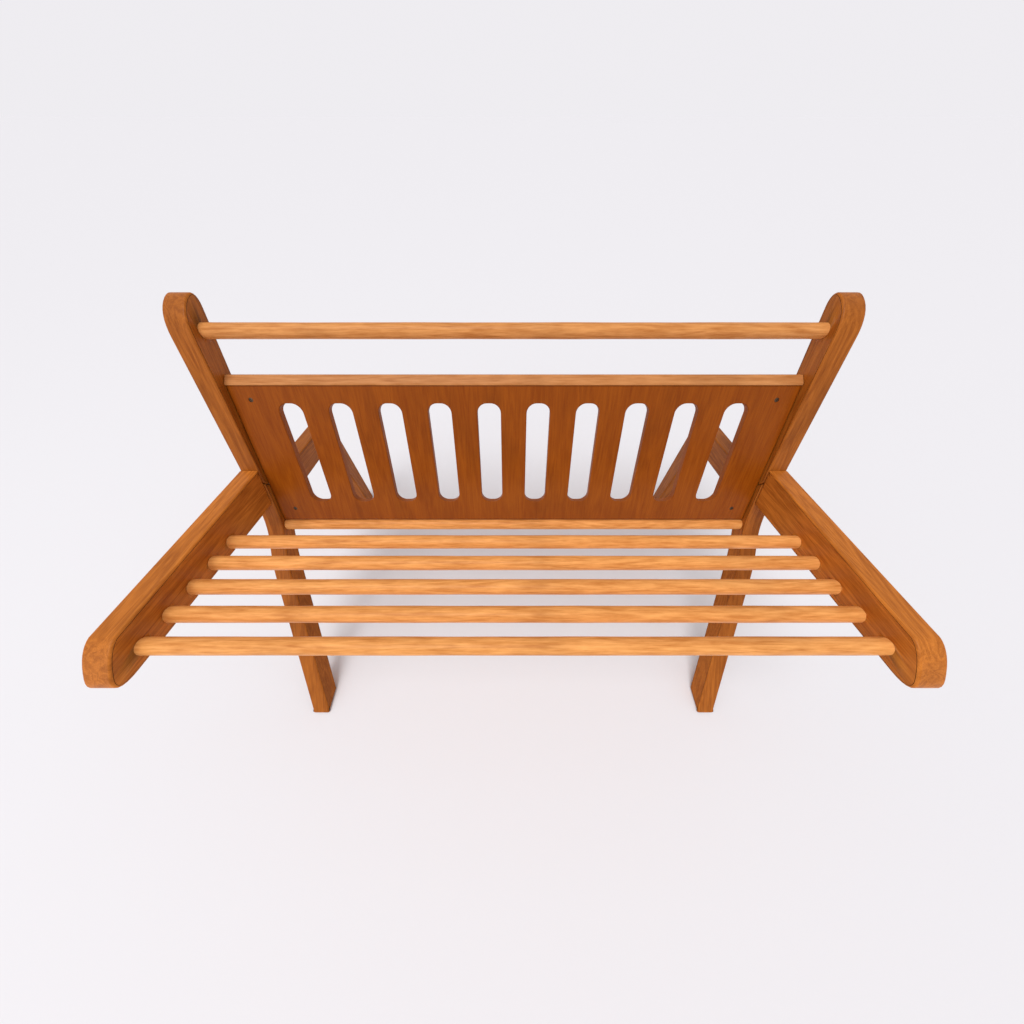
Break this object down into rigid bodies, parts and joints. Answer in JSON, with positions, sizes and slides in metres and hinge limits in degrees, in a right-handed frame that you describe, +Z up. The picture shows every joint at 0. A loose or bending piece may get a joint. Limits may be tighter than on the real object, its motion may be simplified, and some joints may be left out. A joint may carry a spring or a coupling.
{
  "type": "futon sofa bed frame",
  "caption": "Hardwood futon sofa bed frame with a round-rod seat, a slotted panel back on friction hinges and raked legs; the back folds down flat.",
  "frame": {"origin": "on the floor, under the middle of the frame's box", "axes": "+Z up, sitting side towards -Y, +X to the right of someone looking along +Y at the front"},
  "size_m": [1.2, 0.7578, 0.7733],
  "materials": {
    "frame_wood": "oiled honey-brown hardwood with eased edges",
    "dowel_wood": "oiled turned hardwood",
    "panel_wood": "oiled hardwood plywood",
    "hinge_steel": "bright zinc-plated steel",
    "zinc_fixings": "zinc-plated steel",
    "panel_screws": "dark plated steel",
    "pad_rubber": "matt rubber",
    "glide_plastic": "matt plastic"
  },
  "bodies": {
    "base": {"seat_dowel_1": "dowel_wood", "seat_dowel_2": "dowel_wood", "seat_dowel_3": "dowel_wood", "seat_dowel_4": "dowel_wood", "seat_dowel_5": "dowel_wood", "leg_stretcher_rod": "dowel_wood", "left_seat_rail": "frame_wood", "left_front_leg": "frame_wood", "left_rear_leg": "frame_wood", "left_hinge_leg_plate": "hinge_steel", "left_hinge_friction_washer": "zinc_fixings", "left_leg_plate_bolt_1": "zinc_fixings", "left_leg_plate_bolt_2": "zinc_fixings", "left_frame_stud": "zinc_fixings", "left_rail_barrel_nut": "zinc_fixings", "left_rear_leg_barrel_nut": "zinc_fixings", "left_rest_pad": "pad_rubber", "left_front_glide": "glide_plastic", "left_rear_glide": "glide_plastic", "right_seat_rail": "frame_wood", "right_front_leg": "frame_wood", "right_rear_leg": "frame_wood", "right_hinge_leg_plate": "hinge_steel", "right_hinge_friction_washer": "zinc_fixings", "right_leg_plate_bolt_1": "zinc_fixings", "right_leg_plate_bolt_2": "zinc_fixings", "right_frame_stud": "zinc_fixings", "right_rail_barrel_nut": "zinc_fixings", "right_rear_leg_barrel_nut": "zinc_fixings", "right_rest_pad": "pad_rubber", "right_front_glide": "glide_plastic", "right_rear_glide": "glide_plastic"},
    "back": {"back_top_rod": "dowel_wood", "slotted_back_panel": "panel_wood", "panel_top_lipping": "dowel_wood", "left_back_post": "frame_wood", "left_panel_batten": "frame_wood", "left_hinge_post_plate": "hinge_steel", "left_hinge_pin": "hinge_steel", "left_post_plate_bolt_1": "zinc_fixings", "left_post_plate_bolt_2": "zinc_fixings", "left_panel_screw_1": "panel_screws", "left_batten_screw_1": "zinc_fixings", "left_panel_screw_2": "panel_screws", "left_batten_screw_2": "zinc_fixings", "right_back_post": "frame_wood", "right_panel_batten": "frame_wood", "right_hinge_post_plate": "hinge_steel", "right_hinge_pin": "hinge_steel", "right_post_plate_bolt_1": "zinc_fixings", "right_post_plate_bolt_2": "zinc_fixings", "right_panel_screw_1": "panel_screws", "right_batten_screw_1": "zinc_fixings", "right_panel_screw_2": "panel_screws", "right_batten_screw_2": "zinc_fixings"}
  },
  "joints": [
    {"name": "back_fold", "type": "hinge", "parent": "base", "child": "back", "pos_m": [0, 0.05449, 0.45244], "axis": [-1, 0, 0], "range_deg": [0, 75.7]}
  ]
}
